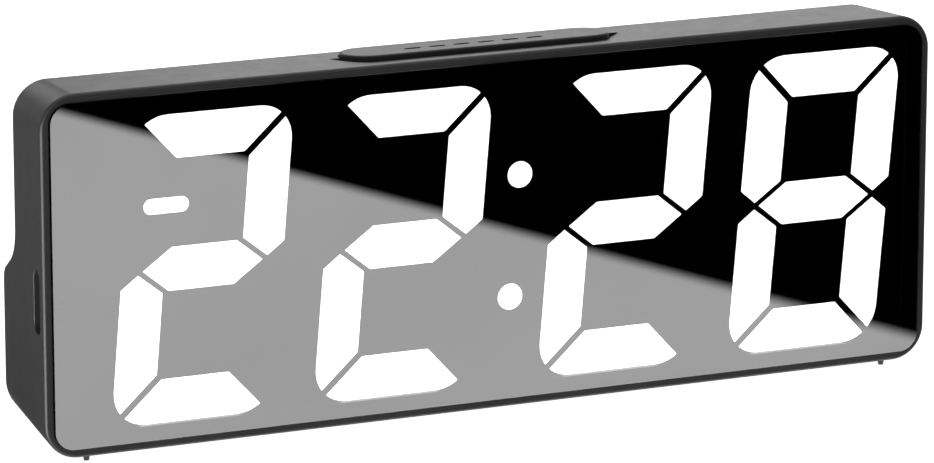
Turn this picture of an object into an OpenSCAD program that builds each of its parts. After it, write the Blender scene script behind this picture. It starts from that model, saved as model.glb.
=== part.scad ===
// Mirror-faced alarm clock: a tapered tub with a lit four-digit display behind a
// half-mirrored lens, a press bar on top and a battery bulge along the lower back.
// Y = 0 is the front face of the lens, Z = 0 is the surface the clock stands on.

/* [Body] */
// Width across the front rim
body_w = 160; // [158:0.5:164]
// Height of the front rim
body_h = 60.3; // [60:0.1:62]
// Corner radius of the body, seen from the front
corner_r = 5.8; // [5.2:0.1:6.2]
// Depth of the upper half, from the lens face
upper_d = 17.8; // [17.6:0.1:20]
// Depth of the lower half, from the lens face
lower_d = 25.5; // [25:0.1:28]
// Thickness of the moulded walls
wall = 1.6; // [1.4:0.1:1.8]
// How far the rim face lies behind the lens face
rim_y = 0.5; // [0.3:0.1:0.7]
// Size of the small chamfer round the rim
rim_chamfer = 0.6; // [0.3:0.05:0.7]
// Gap between the front of the underside and the table
front_lift = 0.85; // [0.7:0.05:1]

/* [Taper] */
// Inward slope of each side wall, per mm of depth
side_draft = 0.075; // [0.06:0.005:0.08]
// Downward slope of the top, per mm of depth
top_draft = 0.054; // [0.04:0.002:0.06]
// Upward slope of the underside, per mm of depth
bottom_draft = 0.06; // [0.05:0.005:0.08]

/* [Step in the back] */
// Height at which the upper back would meet the sloping shelf
step_z = 31.8; // [31:0.1:33]
// Slope of the shelf below the horizontal, in degrees
step_angle = 31.5; // [28:0.5:35]
// Radius where the upper back turns into the shelf
step_hollow_r = 7; // [5:0.5:8]
// Radius where the shelf turns into the lower back
step_round_r = 2.5; // [2:0.1:3]

/* [Lens] */
// Thickness of the lens
lens_t = 1.5; // [1.2:0.1:1.6]
// Width of the rim that shows round the lens
rim_w = 1.4; // [1.3:0.05:1.6]
// Gap between the lens and its pocket
lens_gap = 0.1; // [0.05:0.01:0.15]
// Thickness of the adhesive frame
tape_t = 0.2; // [0.1:0.05:0.25]

/* [Display] */
// Half of a digit's width
digit_hw = 14; // [13.5:0.1:14.2]
// Half of a digit's height
digit_hh = 25.6; // [25:0.1:25.8]
// Width of a segment
stroke = 7.3; // [6.5:0.1:7.5]
// Radius of a digit's outer corners
digit_corner_r = 6; // [5:0.1:6.5]
// Gap between neighbouring segments at a corner
segment_gap = 1.15; // [0.8:0.05:1.3]
// Sideways lean of the digits, per mm of height
slant = 0.0855; // [0:0.005:0.09]
// Sideways place of the middle of the display
display_x = 3.5; // [3.3:0.1:3.6]
// Distance between the two digits of a pair
digit_pitch = 35.3; // [35:0.1:35.4]
// Distance between the two inner digits
middle_pitch = 40.4; // [40:0.1:40.5]

/* [Snooze bar] */
// Length of the bar
bar_l = 48; // [40:1:50]
// Width of the bar, front to back
bar_w = 9.6; // [9:0.1:9.8]
// Distance from the lens face to the middle of the bar
bar_y = 10.4; // [10.2:0.1:10.5]
// Height of the bar above the top
bar_rise = 0.7; // [0.5:0.1:0.9]

/* [Set buttons] */
// Distance between neighbouring buttons
button_pitch = 16; // [13:1:18]
// Length of a button
button_l = 9; // [7:0.5:10]
// Height of a button
button_h = 5; // [4.5:0.1:5.4]
// Height of the row above the table
button_z = 45; // [44:0.5:46]

/* [Batteries] */
// Length of the battery door
door_l = 94; // [92:0.5:95]
// Height of the battery door
door_h = 19; // [18.6:0.1:19]

/* [Hidden] */

$fn = 48;
eps = 0.01;
far = 400;

// Corners of the side view, at the lower and upper back
heel_r = 1.8;
brow_corner_r = 1.2;

// Front rim and lens
mid_z = front_lift + body_h / 2;
lens_w = body_w - 2 * (rim_w + lens_gap);
lens_h = body_h - 2 * (rim_w + lens_gap);
lens_r = 3.4;
ledge_y = lens_t + tape_t;
ledge_t = 1.4;
ledge_w = 2.1;

// Light box and main board
box_front_y = ledge_y + 0.1;
board_y = 5.9;
board_t = 1.6;
board_back = board_y + board_t;
board_w = lens_w - 2 * ledge_w - 1.3;
board_h = lens_h - 2 * ledge_w - 0.8;
box_w = 144.8;
mask_w = box_w + 2 * display_x;
mask_t = 0.7;
guide_t = 3.2;
display_dz = -0.6;
window_hw = digit_hw - stroke;
window_hz = digit_hh - stroke;
bar_hz = stroke / 2;
notch_hz = 2.8;
tip_x = 11.2;
tip_hz = 0.57;
colon_r = 2.25;
colon_up = 9.7;
colon_down = -11;
digit_x = [
    display_x - middle_pitch / 2 - digit_pitch,
    display_x - middle_pitch / 2,
    display_x + middle_pitch / 2,
    display_x + middle_pitch / 2 + digit_pitch
];
indicator_x = -58.2;
indicator_z = mid_z + 10;
indicator_w = 8.4;
indicator_h = 5;

// Screws that hold the board, between the digits of each pair
screw_dz = 23;
screw_r = 1.1;
screw_head_r = 2;
screw_l = 5;
boss_r = 3;
screw_x = [display_x - (middle_pitch + digit_pitch) / 2, display_x + (middle_pitch + digit_pitch) / 2];

// Power inlet in the left wall
inlet_y = 4.3;
inlet_z = mid_z - 4.5;
inlet_l = 10.7;
inlet_w = 3.4;
inlet_flare = 0.25;
socket_l = 7.3;
socket_w = 8.94;
socket_t = 3.16;
socket_skin = 0.3;
socket_mouth_x = -78.1;
socket_pocket_l = 8;

// Snooze bar and its switch
bar_end_r = bar_w / 2;
bar_gap = 0.25;
bar_flange_z = 58;
bar_flange_t = 0.6;
scoop_reach = 3;
scoop_tip = 1.9;
scoop_depth = 0.75;
switch_body = 6;
switch_t = 3.5;
plunger_r = 1.7;
snooze_switch_z = 49.6;
snooze_plunger_top = 56.2;
snooze_y = board_back + 2.2;

// Set buttons on the upper back
button_count = 4;
button_stand = 0.6;
button_foot_y = 14.6;
button_flange = 1;
button_gap = 0.2;

// Battery compartment
cell_r = 5.25;
cell_l = 44.5;
nose_r = 1.9;
nose_l = 0.8;
cell_y = 18;
cell_z = [10.4, 21.1];
tray_hl = 46.6;
tray_z0 = 4.9;
tray_z1 = 26.6;
tray_front = 12.2;
tray_wall = 1.2;
door_z0 = 6.4;
door_gap = 0.2;
door_t = 1.6;
lug_x = 30;
lug_t = 0.9;
lug_l = 1.2;
latch_w = 14;
latch_h = 6;
grip_pitch = 1.4;
spring_wire_r = 0.35;
spring_turns = 4;
coil_steps = 12;
wire_sides = 6;
contact_t = 0.2;
row_shift = tray_hl - contact_t - cell_l;
spring_l = 2 * row_shift;
spring_base_r = 3.8;
spring_tip_r = 2;
plate_y0 = tray_front + 1;
plate_y1 = cell_y + 4;
plate_hz = 4.6;
plate_split = 0.2;
tab_y = 14.5;
tab_hy = 0.5;
tab_hz = 1.2;
tab_gap = 0.1;
tab_x = tray_hl + tray_wall + 0.6;
lead_x = 53;
lead_r = 0.6;
lead_run_r = 0.5;

// Feet
pip_x = 72.5;
pip_y = 2;
rear_foot_x = 64;
rear_foot_y = 19;
rear_foot_r = 3.5;

// Parts on the back of the board
chip_z = 33;
clock_chip_x = 2;
driver_chip_x = [-24, 28];
crystal_x = [10, 16];
crystal_r = 1;
capacitor_x = [-66, 62];
capacitor_z = [34, 54];
capacitor_r = 2.5;
capacitor_l = 7;
resistor_count = 8;
resistor_pitch = 4;
resistor_z = [39.5, 41.2];

// Buzzer on the back of the board
buzzer_x = -56;
buzzer_z = 46;
buzzer_r = 6;
buzzer_t = 6.5;

// Colours
shell_colour = [0.2, 0.2, 0.21];
board_colour = [0.1, 0.32, 0.18];
metal_colour = [0.75, 0.75, 0.72];
black = [0.06, 0.06, 0.06];

// ---- Helpers ----

// The clock stands with the middle of its depth at Y = 0
module placed() {
    translate([0, -lower_d / 2, 0]) children();
}

// A flat outline in X and Z, given a thickness along Y
module plate_y(y0, y1) {
    translate([0, y1, 0]) rotate([90, 0, 0]) linear_extrude(y1 - y0) children();
}

// A flat outline in Y and Z, given a length along X
module plate_x(x0, x1) {
    translate([x0, 0, 0]) rotate([90, 0, 90]) linear_extrude(x1 - x0) children();
}

module rounded_rect(w, h, r) {
    square([w - 2 * r, h], center = true);
    square([w, h - 2 * r], center = true);
    for (x = [-1, 1], y = [-1, 1])
        translate([x * (w / 2 - r), y * (h / 2 - r)]) circle(r);
}

// A slot with round ends, long side along X
module stadium(l, w) {
    square([l - w, w], center = true);
    for (x = [-1, 1]) translate([x * (l - w) / 2, 0]) circle(w / 2);
}

module rod_y(x, z, y0, y1, r) {
    translate([x, y1, z]) rotate([90, 0, 0]) cylinder(h = y1 - y0, r = r);
}

module rod_x(x0, x1, y, z, r) {
    translate([x0, y, z]) rotate([0, 90, 0]) cylinder(h = x1 - x0, r = r);
}

module block(x, y, z) {
    translate([x[0], y[0], z[0]]) cube([x[1] - x[0], y[1] - y[0], z[1] - z[0]]);
}

function arc(cx, cy, r, a0, a1, n) =
    [for (i = [0 : n]) let (a = a0 + (a1 - a0) * i / n) [cx + r * cos(a), cy + r * sin(a)]];

// ---- Outer form ----

function half_w(y) = body_w / 2 - side_draft * (y - rim_y);
function top_z(y) = mid_z + body_h / 2 - top_draft * (y - rim_y);
function bottom_z(y) = mid_z - body_h / 2 + bottom_draft * (y - rim_y);

// One slice of the tapered tub, drawn in by inset
module slice(y, inset) {
    z0 = bottom_z(y) + inset;
    z1 = top_z(y) - inset;
    translate([0, 0, (z0 + z1) / 2])
        plate_y(y, y + eps)
            rounded_rect(2 * (half_w(y) - inset), z1 - z0, corner_r - min(inset, corner_r - 1.5));
}

// Side view of the clock, drawn in by t
function side_view(t) =
    let (
        back_u = upper_d - t,
        back_l = lower_d - t,
        foot_r = max(heel_r - t, 0.6),
        brow_r = max(brow_corner_r - t, 0.3),
        hollow_r = step_hollow_r + t,
        round_r = max(step_round_r - t, 0.6),
        turn = 90 - step_angle,
        shelf_z = step_z - t * cos(step_angle),
        shelf_y = upper_d - t * sin(step_angle),
        z_u = shelf_z + (shelf_y - back_u) * tan(step_angle),
        z_l = shelf_z - (back_l - shelf_y) * tan(step_angle),
        under = atan(bottom_draft),
        over = atan(top_draft),
        foot_cz = bottom_z(back_l - foot_r) + (t + foot_r) / cos(under),
        brow_cz = top_z(back_u - brow_r) - (t + brow_r) / cos(over),
        tan_h = tan(turn / 2)
    )
    concat(
        [[-1, bottom_z(-1) + t / cos(under)]],
        arc(back_l - foot_r, foot_cz, foot_r, under - 90, 0, 10),
        arc(back_l - round_r, z_l - round_r * tan_h, round_r, 0, turn, 10),
        arc(back_u + hollow_r, z_u + hollow_r * tan_h, hollow_r, 180 + turn, 180, 12),
        arc(back_u - brow_r, brow_cz, brow_r, 0, 90 - over, 6),
        [[-1, top_z(-1) - t / cos(over)]]
    );

module outer_form() {
    intersection() {
        hull() {
            slice(rim_y, rim_chamfer);
            slice(rim_y + rim_chamfer, 0);
            slice(lower_d, 0);
        }
        plate_x(-far / 2, far / 2) polygon(side_view(0));
    }
}

module cavity() {
    intersection() {
        hull() {
            slice(ledge_y + ledge_t, wall);
            slice(lower_d, wall);
        }
        plate_x(-far / 2, far / 2) polygon(side_view(wall));
    }
}

// ---- Housing ----

module tray_block() {
    block([-tray_hl - tray_wall, tray_hl + tray_wall], [tray_front - tray_wall, lower_d],
          [0, tray_z1 + tray_wall]);
}

module lens_pocket() {
    translate([0, 0, mid_z]) {
        plate_y(-1, ledge_y)
            rounded_rect(lens_w + 2 * lens_gap, lens_h + 2 * lens_gap, lens_r + lens_gap);
        plate_y(ledge_y - eps, ledge_y + ledge_t + eps)
            rounded_rect(lens_w - 2 * ledge_w, lens_h - 2 * ledge_w, 2);
    }
}

// Hollow in the top that slopes down to the front of the bar
module scoop() {
    intersection() {
        translate([0, bar_y, 0]) linear_extrude(far) intersection() {
            union() {
                square([bar_l + 2 * scoop_tip - bar_w, bar_w + 2 * scoop_reach], center = true);
                for (x = [-1, 1]) translate([x * (bar_l - bar_w) / 2, 0])
                    circle(bar_end_r + scoop_tip);
            }
            translate([-far / 2, -far]) square([far, far]);
        }
        translate([0, bar_y - bar_end_r - scoop_reach, top_z(bar_y - bar_end_r - scoop_reach)])
            rotate([-atan(scoop_depth / scoop_reach), 0, 0])
                translate([-far / 2, -far / 2, 0]) cube(far);
    }
}

module bar_opening() {
    translate([0, bar_y, mid_z]) linear_extrude(far)
        stadium(bar_l + 2 * bar_gap, bar_w + 2 * bar_gap);
}

module inlet_opening() {
    translate([0, inlet_y, inlet_z]) {
        rotate([90, 0, 90]) translate([0, 0, -body_w / 2 - 1])
            linear_extrude(wall + 8) rotate(90) stadium(inlet_l, inlet_w);
        hull() for (side = [0, 1])
            rotate([90, 0, 90])
                translate([0, 0, -half_w(inlet_y) - 0.2 + side * (0.2 + inlet_flare)])
                    linear_extrude(eps) rotate(90)
                        stadium(inlet_l + 2 * (1 - side) * (inlet_flare + 0.2),
                                inlet_w + 2 * (1 - side) * (inlet_flare + 0.2));
    }
}

module button_openings() {
    for (i = [1 : button_count])
        translate([button_x(i), 0, button_z])
            plate_y(upper_d - wall - 1, upper_d + 1)
                rounded_rect(button_l + 2 * button_gap, button_h + 2 * button_gap, 1.2);
}

module sound_holes() {
    rod_y(buzzer_x, buzzer_z, upper_d - wall - 1, upper_d + 1, 0.8);
    for (a = [0 : 60 : 300])
        rod_y(buzzer_x + 3 * cos(a), buzzer_z + 3 * sin(a), upper_d - wall - 1, upper_d + 1, 0.8);
}

module bosses() {
    for (x = screw_x, s = [-1, 1])
        rod_y(x + s * slant * screw_dz, mid_z + s * screw_dz, board_back,
              s > 0 ? upper_d - wall / 2 : tray_front - tray_wall / 2, boss_r);
}

module screw_holes() {
    for (x = screw_x, s = [-1, 1])
        rod_y(x + s * slant * screw_dz, mid_z + s * screw_dz, board_back - 1,
              board_y + screw_l + 0.4, screw_r + 0.05);
}

// Slots in the tray's right end wall for the tabs of the contact plates
module contact_slots() {
    for (z = cell_z)
        block([tray_hl - 0.5, tray_hl + tray_wall + 0.5],
              [tab_y - tab_hy - tab_gap, tab_y + tab_hy + tab_gap],
              [z - tab_hz - tab_gap, z + tab_hz + tab_gap]);
}

module housing() {
    color(shell_colour) placed() difference() {
        union() {
            difference() {
                outer_form();
                cavity();
            }
            intersection() {
                tray_block();
                outer_form();
            }
            bosses();
        }
        lens_pocket();
        block([-tray_hl, tray_hl], [tray_front, lower_d - wall], [tray_z0, tray_z1]);
        translate([0, 0, door_z0 + door_h / 2])
            plate_y(lower_d - wall - 0.05, lower_d + 1)
                rounded_rect(door_l + 2 * door_gap, door_h + 2 * door_gap, 1.2);
        scoop();
        bar_opening();
        inlet_opening();
        block([socket_mouth_x - 0.2, socket_mouth_x + socket_pocket_l], [ledge_y + 0.4, board_y],
              [inlet_z - inlet_l / 2, inlet_z + inlet_l / 2]);
        contact_slots();
        button_openings();
        sound_holes();
        screw_holes();
    }
}

// ---- Lens and its adhesive frame ----

module mirror_lens() {
    color([0.5, 0.5, 0.52]) placed() translate([0, 0, mid_z])
        plate_y(0, lens_t) rounded_rect(lens_w, lens_h, lens_r);
}

module lens_tape() {
    color(black) placed() translate([0, 0, mid_z]) plate_y(lens_t, ledge_y) difference() {
        rounded_rect(lens_w - 0.4, lens_h - 0.4, lens_r - 0.2);
        rounded_rect(lens_w - 2 * ledge_w, lens_h - 2 * ledge_w, 2);
    }
}

// ---- Digits ----

// Angle by which a corner gap takes an outer corner's arc off its diagonal
gap_turn = asin(segment_gap / 2 / digit_corner_r);
gap_shift = segment_gap / sqrt(2);

// Upright outlines of the top, upper right and middle segments
top_segment = concat(
    [[-window_hw + gap_shift, window_hz], [window_hw - gap_shift, window_hz]],
    arc(digit_hw - digit_corner_r, digit_hh - digit_corner_r, digit_corner_r, 45 + gap_turn, 90, 6),
    arc(digit_corner_r - digit_hw, digit_hh - digit_corner_r, digit_corner_r, 90, 135 - gap_turn, 6)
);
side_segment = concat(
    [[window_hw, window_hz - gap_shift]],
    arc(digit_hw - digit_corner_r, digit_hh - digit_corner_r, digit_corner_r, 45 - gap_turn, 0, 6),
    [[digit_hw, notch_hz], [tip_x, tip_hz], [window_hw, bar_hz + 0.3]]
);
middle_segment = [
    [-tip_x + 0.8, 0], [-window_hw + 1.05, bar_hz], [window_hw - 1.05, bar_hz],
    [tip_x - 0.8, 0], [window_hw - 1.05, -bar_hz], [-window_hw + 1.05, -bar_hz]
];

function leaning(points, sx, sz) =
    [for (p = points) [sx * p[0] + slant * sz * p[1], sz * p[1]]];

// The segments of one digit. The first digit shows only a blank, 1 or 2,
// so the place of its upper left segment is free for the indicator.
function digit_outlines(digit) = concat(
    [
        leaning(top_segment, 1, 1), leaning(top_segment, 1, -1), leaning(middle_segment, 1, 1),
        leaning(side_segment, 1, 1), leaning(side_segment, 1, -1), leaning(side_segment, -1, -1)
    ],
    digit == 1 ? [] : [leaning(side_segment, -1, 1)]
);

function middle_of(points) =
    let (xs = [for (p = points) p[0]], zs = [for (p = points) p[1]])
    [(min(xs) + max(xs)) / 2, (min(zs) + max(zs)) / 2];

module at_digit(digit) {
    translate([digit_x[digit - 1], 0, mid_z + display_dz]) children();
}

module digit_prisms(digit, y0, y1) {
    at_digit(digit) for (points = digit_outlines(digit)) plate_y(y0, y1) polygon(points);
}

module colon_rods(y0, y1) {
    for (dz = [colon_up, colon_down])
        rod_y(display_x + slant * dz, mid_z + display_dz + dz, y0, y1, colon_r);
}

module indicator_prism(y0, y1) {
    translate([indicator_x, 0, indicator_z])
        plate_y(y0, y1) rounded_rect(indicator_w, indicator_h, 0.6);
}

// Its front plate hides the board, the inlet and the screw heads behind the lens
module light_box() {
    color(black) placed() difference() {
        union() {
            translate([display_x, 0, mid_z])
                plate_y(box_front_y, board_y) rounded_rect(box_w, board_h, 1.5);
            translate([0, 0, mid_z])
                plate_y(box_front_y, box_front_y + mask_t) rounded_rect(mask_w, board_h, 1.5);
        }
        for (digit = [1 : 4]) digit_prisms(digit, box_front_y - 1, board_y + 1);
        colon_rods(box_front_y - 1, board_y + 1);
        indicator_prism(box_front_y - 1, board_y + 1);
        for (x = screw_x, s = [-1, 1])
            rod_y(x + s * slant * screw_dz, mid_z + s * screw_dz, box_front_y + mask_t, board_y + 1,
                  screw_head_r + 0.4);
    }
}

module digit_lights(digit) {
    color("white") placed() digit_prisms(digit, box_front_y, box_front_y + guide_t);
}

module colon_lights() {
    color("white") placed() colon_rods(box_front_y, box_front_y + guide_t);
}

module indicator_light() {
    color("white") placed() indicator_prism(box_front_y, box_front_y + guide_t);
}

// ---- Main board and what is on it ----

module display_board() {
    color(board_colour) placed() difference() {
        translate([0, 0, mid_z]) plate_y(board_y, board_back) rounded_rect(board_w, board_h, 1);
        for (x = screw_x, s = [-1, 1])
            rod_y(x + s * slant * screw_dz, mid_z + s * screw_dz,
                  board_y - 1, board_back + 1, screw_r + 0.1);
    }
}

module led_chip(x, z) {
    block([x - 1, x + 1], [board_y - 0.7, board_y], [z - 0.6, z + 0.6]);
}

module segment_leds() {
    color([0.95, 0.9, 0.7]) placed() {
        for (digit = [1 : 4])
            for (points = digit_outlines(digit))
                led_chip(digit_x[digit - 1] + middle_of(points)[0],
                         mid_z + display_dz + middle_of(points)[1]);
        for (dz = [colon_up, colon_down])
            led_chip(display_x + slant * dz, mid_z + display_dz + dz);
        led_chip(indicator_x, indicator_z);
    }
}

// A small flat chip with a row of legs on two sides
module chip(x, z, w, h, legs) {
    translate([x, 0, z]) {
        block([-w / 2, w / 2], [board_back + 0.1, board_back + 1.6], [-h / 2, h / 2]);
        for (i = [0 : legs - 1], s = [-1, 1])
            block([-w / 2 + (i + 0.5) * w / legs - 0.2, -w / 2 + (i + 0.5) * w / legs + 0.2],
                  [board_back, board_back + 0.9], [s * (h / 2 + 0.5) - 0.5, s * (h / 2 + 0.5) + 0.5]);
    }
}

module clock_chip() {
    color(black) placed() chip(clock_chip_x, chip_z, 10, 4, 8);
}

module driver_chips() {
    color(black) placed() for (x = driver_chip_x) chip(x, chip_z, 8, 4, 6);
}

module crystal() {
    color(metal_colour) placed() {
        rod_x(crystal_x[0], crystal_x[1], board_back + crystal_r, chip_z, crystal_r);
        for (dz = [-0.4, 0.4])
            block([crystal_x[0] - 1, crystal_x[0] + 0.2], [board_back, board_back + 0.9],
                  [chip_z + dz - 0.15, chip_z + dz + 0.15]);
    }
}

module capacitors() {
    color([0.15, 0.2, 0.4]) placed() for (x = capacitor_x, z = capacitor_z)
        rod_y(x, z, board_back, board_back + capacitor_l, capacitor_r);
}

module resistors() {
    color([0.2, 0.2, 0.2]) placed() for (i = [0 : resistor_count - 1], z = resistor_z)
        translate([(i - (resistor_count - 1) / 2) * resistor_pitch, 0, z])
            block([-0.8, 0.8], [board_back, board_back + 0.5], [-0.4, 0.4]);
}

module buzzer() {
    color(black) placed() difference() {
        rod_y(buzzer_x, buzzer_z, board_back, board_back + buzzer_t, buzzer_r);
        rod_y(buzzer_x, buzzer_z, board_back + buzzer_t - 1, board_back + buzzer_t + 1, 1);
    }
}

// ---- Power inlet ----

module socket_outline(inset) {
    rotate(90) stadium(socket_w - 2 * inset, socket_t - 2 * inset);
}

module power_socket() {
    color(metal_colour) placed() translate([0, inlet_y, inlet_z]) difference() {
        plate_x(socket_mouth_x, socket_mouth_x + socket_l) socket_outline(0);
        plate_x(socket_mouth_x - 1, socket_mouth_x + socket_l - 0.8) socket_outline(socket_skin);
    }
}

module socket_tongue() {
    color(black) placed() translate([0, inlet_y, inlet_z])
        block([socket_mouth_x + 0.8, socket_mouth_x + socket_l - 0.8], [-0.35, 0.35], [-3.35, 3.35]);
}

// ---- Snooze bar ----

module snooze_bar() {
    color([0.22, 0.22, 0.23]) placed() {
        difference() {
            union() {
                translate([0, bar_y, bar_flange_z]) linear_extrude(far)
                    stadium(bar_l, bar_w);
                translate([0, bar_y, bar_flange_z]) linear_extrude(bar_flange_t)
                    intersection() {
                        stadium(bar_l + 3, bar_w + 1);
                        translate([-far / 2, -bar_end_r]) square([far, bar_w + 1]);
                    }
            }
            translate([0, rim_y, mid_z + body_h / 2 + bar_rise]) rotate([-atan(top_draft), 0, 0])
                translate([-far / 2, -far / 2, 0]) cube(far);
        }
        block([-2, 2], [snooze_y - 1.5, snooze_y + 1.5], [snooze_plunger_top, bar_flange_z]);
        for (x = [-18, 18])
            block([x - 1, x + 1], [bar_y - 1, bar_y + 3], [bar_flange_z - 4, bar_flange_z]);
    }
}

module snooze_switch() {
    color(black) placed() difference() {
        block([-switch_body / 2, switch_body / 2], [board_back, board_back + 4.4],
              [snooze_switch_z, snooze_switch_z + 4.4]);
        translate([0, snooze_y, snooze_switch_z + 2.4]) cylinder(h = 10, r = plunger_r + 0.1);
    }
}

module snooze_plunger() {
    color([0.7, 0.7, 0.68]) placed() translate([0, snooze_y, snooze_switch_z + 3.4])
        cylinder(h = snooze_plunger_top - snooze_switch_z - 3.4, r = plunger_r);
}

// ---- Set buttons ----

function button_x(i) = (i - (button_count + 1) / 2) * button_pitch;

module set_button(i) {
    color([0.16, 0.16, 0.17]) placed() translate([button_x(i), 0, button_z]) {
        plate_y(button_foot_y, upper_d + button_stand) rounded_rect(button_l, button_h, 1);
        plate_y(upper_d - wall - 0.9, upper_d - wall - 0.1)
            rounded_rect(button_l + 2 * button_flange, button_h + 2 * button_flange, 1.2);
    }
}

module set_switch(i) {
    color(black) placed() translate([button_x(i), 0, button_z]) difference() {
        plate_y(board_back, board_back + switch_t) square(switch_body, center = true);
        rod_y(0, 0, board_back + 1.6, board_back + 10, plunger_r + 0.1);
    }
}

module set_plunger(i) {
    color([0.7, 0.7, 0.68]) placed()
        rod_y(button_x(i), button_z, board_back + 2.4, button_foot_y, plunger_r);
}

// ---- Batteries ----

// Cells 1 and 2 lie in the lower row, 3 and 4 in the upper row, noses the other way
module battery_cell(i) {
    row = i > 2 ? 1 : 0;
    base_x = row_shift - (i % 2 == 1 ? cell_l : 0);
    color([0.15, 0.35, 0.6]) placed() mirror([row, 0, 0]) {
        rod_x(base_x, base_x + cell_l - nose_l, cell_y, cell_z[row], cell_r);
        rod_x(base_x, base_x + cell_l, cell_y, cell_z[row], nose_r);
    }
}

// A coil along +X that widens from r0 to r1
module coil(r0, r1, turns, length, wire_r) {
    steps = turns * coil_steps;
    points = [
        for (i = [0 : steps], j = [0 : wire_sides - 1])
            let (
                a = 360 * i / coil_steps,
                b = 360 * j / wire_sides,
                r = r0 + (r1 - r0) * i / steps + wire_r * cos(b)
            )
            [length * i / steps + wire_r * sin(b), r * cos(a), r * sin(a)]
    ];
    sides = [
        for (i = [0 : steps - 1], j = [0 : wire_sides - 1])
            let (k = (j + 1) % wire_sides)
            [i * wire_sides + j, i * wire_sides + k, (i + 1) * wire_sides + k, (i + 1) * wire_sides + j]
    ];
    first = [for (j = [0 : wire_sides - 1]) wire_sides - 1 - j];
    last = [for (j = [0 : wire_sides - 1]) steps * wire_sides + j];
    polyhedron(points, concat(sides, [first, last]));
}

module battery_springs() {
    color(metal_colour) placed() for (row = [0, 1])
        mirror([row, 0, 0])
            translate([contact_t - tray_hl + spring_wire_r, cell_y, cell_z[row]])
                coil(spring_base_r, spring_tip_r, spring_turns,
                     spring_l - 2 * spring_wire_r, spring_wire_r);
}

// The left plate joins the two rows in series, the right ones each serve one row
module battery_plates() {
    color(metal_colour) placed() {
        block([-tray_hl, contact_t - tray_hl], [plate_y0, plate_y1],
              [cell_z[0] - plate_hz, cell_z[1] + plate_hz - plate_split]);
        for (z = cell_z) {
            block([tray_hl - contact_t, tray_hl], [plate_y0, plate_y1],
                  [z - plate_hz, z + plate_hz - plate_split]);
            block([tray_hl - eps, tab_x], [tab_y - tab_hy, tab_y + tab_hy], [z - tab_hz, z + tab_hz]);
        }
    }
}

module battery_door() {
    color([0.19, 0.19, 0.2]) placed() {
        difference() {
            translate([0, 0, door_z0 + door_h / 2])
                plate_y(lower_d - door_t, lower_d) rounded_rect(door_l, door_h, 1);
            for (s = [-1, 1])
                block([s * latch_w / 2 - 0.5, s * latch_w / 2 + 0.5], [lower_d - 5, lower_d + 1],
                      [door_z0 + door_h - latch_h, door_z0 + door_h + 1]);
            for (i = [0 : 2])
                translate([0, 0, door_z0 + door_h - latch_h + 1 + grip_pitch * i])
                    block([-4, 4], [lower_d - 0.4, lower_d + 1], [0, grip_pitch / 2]);
        }
        for (x = [-lug_x, lug_x]) {
            block([x - 4, x + 4], [lower_d - door_t - lug_t, lower_d - door_t + eps],
                  [door_z0, door_z0 + 2]);
            block([x - 4, x + 4], [lower_d - door_t - lug_t, lower_d - door_t - 0.1],
                  [door_z0 - lug_l, door_z0 + 1]);
        }
    }
}

// Insulated wires from the right-hand contact tabs to the board
module battery_leads() {
    color([0.6, 0.1, 0.1]) placed() for (z = cell_z) {
        rod_x(tab_x, lead_x, tab_y, z, lead_run_r);
        rod_y(lead_x, z, board_back, tab_y + lead_r, lead_r);
    }
}

// ---- Fasteners and feet ----

module board_screws() {
    color(metal_colour) placed() for (x = screw_x, s = [-1, 1])
        translate([x + s * slant * screw_dz, 0, mid_z + s * screw_dz]) difference() {
            union() {
                rod_y(0, 0, board_y - 1.4, board_y, screw_head_r);
                rod_y(0, 0, board_y - eps, board_y + screw_l, screw_r);
            }
            for (a = [0, 90]) rotate([0, a, 0])
                block([-1.2, 1.2], [board_y - 2, board_y - 0.8], [-0.25, 0.25]);
        }
}

module front_foot(side) {
    color(shell_colour) placed()
        intersection() {
            translate([side * pip_x, pip_y, 0]) cylinder(h = front_lift + 1, r1 = 0.45, r2 = 0.75);
            under_cutter();
        }
}

module rear_foot(side) {
    color(black) placed()
        intersection() {
            translate([side * rear_foot_x, rear_foot_y, 0])
                cylinder(h = front_lift + 5, r1 = rear_foot_r - 0.3, r2 = rear_foot_r);
            under_cutter();
        }
}

// Everything below the sloping underside
module under_cutter() {
    translate([0, rim_y, bottom_z(rim_y)]) rotate([atan(bottom_draft), 0, 0])
        translate([-far / 2, -far / 2, -far]) cube(far);
}

housing();
mirror_lens();
lens_tape();
light_box();
digit_lights(1);  // digit_1_lights
digit_lights(2);  // digit_2_lights
digit_lights(3);  // digit_3_lights
digit_lights(4);  // digit_4_lights
colon_lights();
indicator_light();
display_board();
segment_leds();
clock_chip();
driver_chips();
crystal();
capacitors();
resistors();
buzzer();
power_socket();
socket_tongue();
snooze_bar();
snooze_switch();
snooze_plunger();
set_button(1);  // set_button_1
set_button(2);  // set_button_2
set_button(3);  // set_button_3
set_button(4);  // set_button_4
set_switch(1);  // set_switch_1
set_switch(2);  // set_switch_2
set_switch(3);  // set_switch_3
set_switch(4);  // set_switch_4
set_plunger(1);  // set_plunger_1
set_plunger(2);  // set_plunger_2
set_plunger(3);  // set_plunger_3
set_plunger(4);  // set_plunger_4
battery_cell(1);  // battery_cell_1
battery_cell(2);  // battery_cell_2
battery_cell(3);  // battery_cell_3
battery_cell(4);  // battery_cell_4
battery_springs();
battery_plates();
battery_door();
battery_leads();
board_screws();
front_foot(-1);  // front_foot_left
front_foot(1);  // front_foot_right
rear_foot(-1);  // rear_foot_left
rear_foot(1);  // rear_foot_right
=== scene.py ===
"""Visual model of a mirror-faced digital alarm clock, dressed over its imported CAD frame.

Sizes are in millimetres. Inside the shapes, y is the depth behind the lens face and z the
height above the surface that the clock stands on; at() turns them into the frame's metres.
"""

import logging
import math
from dataclasses import dataclass, field
from enum import Enum
from typing import Iterable, Sequence

import bmesh
import bpy
from mathutils import Matrix, Vector

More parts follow.
